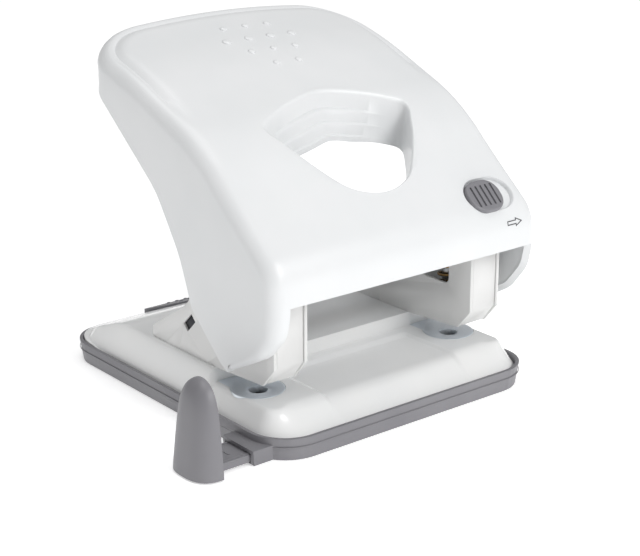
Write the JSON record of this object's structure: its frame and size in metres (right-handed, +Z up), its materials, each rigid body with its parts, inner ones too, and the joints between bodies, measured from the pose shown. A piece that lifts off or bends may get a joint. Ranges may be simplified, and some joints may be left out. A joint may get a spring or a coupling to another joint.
{
  "type": "two-hole punch",
  "caption": "Desk hole punch with a sprung lever handle, press pins, paper guide and hinged chip tray.",
  "frame": {"origin": "on the table plane, midway between the two punched holes", "axes": "+X along the line of the holes, +Y from the user to the rear of the punch, +Z up"},
  "size_m": [0.1326, 0.1207, 0.1165],
  "materials": {
    "white_plastic": "satin",
    "white_steel": "satin",
    "grey_plastic": "fine texture",
    "zinc": "satin",
    "bright_steel": "ground",
    "dark_steel": "blackened",
    "spring_steel": "drawn wire"
  },
  "bodies": {
    "base": {"bedplate": "white_steel", "die_left": "zinc", "die_right": "zinc", "bracket_left_outer": "white_steel", "bracket_left_inner": "white_steel", "bracket_right_inner": "white_steel", "bracket_right_outer": "white_steel", "tower_front_left": "white_steel", "tower_front_right": "white_steel", "pin_guide_left": "zinc", "pin_guide_right": "zinc", "tie_bar": "dark_steel", "pivot_axle": "bright_steel", "axle_clips": "dark_steel", "axle_washers": "bright_steel", "return_spring_left": "spring_steel", "return_spring_right": "spring_steel"},
    "handle": {"handle_cover": "white_plastic", "lever_frame": "zinc", "press_rod": "bright_steel", "rod_clips": "dark_steel", "press_roller_left": "bright_steel", "press_roller_right": "bright_steel", "cover_screws": "dark_steel"},
    "lock": {"lock_button": "grey_plastic", "lock_bolt": "zinc"},
    "pin_left": {"punch_pin_left": "bright_steel", "spring_collar_left": "bright_steel"},
    "pin_right": {"punch_pin_right": "bright_steel", "spring_collar_right": "bright_steel"},
    "tray": {"chip_tray": "grey_plastic"},
    "guide": {"paper_guide": "grey_plastic"}
  },
  "joints": [
    {"name": "handle_press", "type": "hinge", "parent": "base", "child": "handle", "pos_m": [0, -0.0122, 0.0533], "axis": [-1, 0, 0], "range_deg": [0, 35], "stiffness_Nm_per_rad": 1.2},
    {"name": "lock_slide", "type": "slide", "parent": "handle", "child": "lock", "axis": [1, 0, 0], "range_m": [0, 0.0055]},
    {"name": "pin_left_press", "type": "slide", "parent": "base", "child": "pin_left", "axis": [0, 0, -1], "range_m": [0, 0.008], "deforming": ["return_spring_left"]},
    {"name": "pin_right_press", "type": "slide", "parent": "base", "child": "pin_right", "axis": [0, 0, -1], "range_m": [0, 0.008], "deforming": ["return_spring_right"]},
    {"name": "tray_open", "type": "hinge", "parent": "base", "child": "tray", "pos_m": [0, -0.02655, 0.0072], "axis": [-1, 0, 0], "range_deg": [0, 70]},
    {"name": "guide_slide", "type": "slide", "parent": "tray", "child": "guide", "axis": [-1, 0, 0], "range_m": [0, 0.086]}
  ],
  "couplings": [
    {"joint": "pin_left_press", "follows": "handle_press", "m_per_rad": 0.0128},
    {"joint": "pin_right_press", "follows": "handle_press", "m_per_rad": 0.0128}
  ]
}
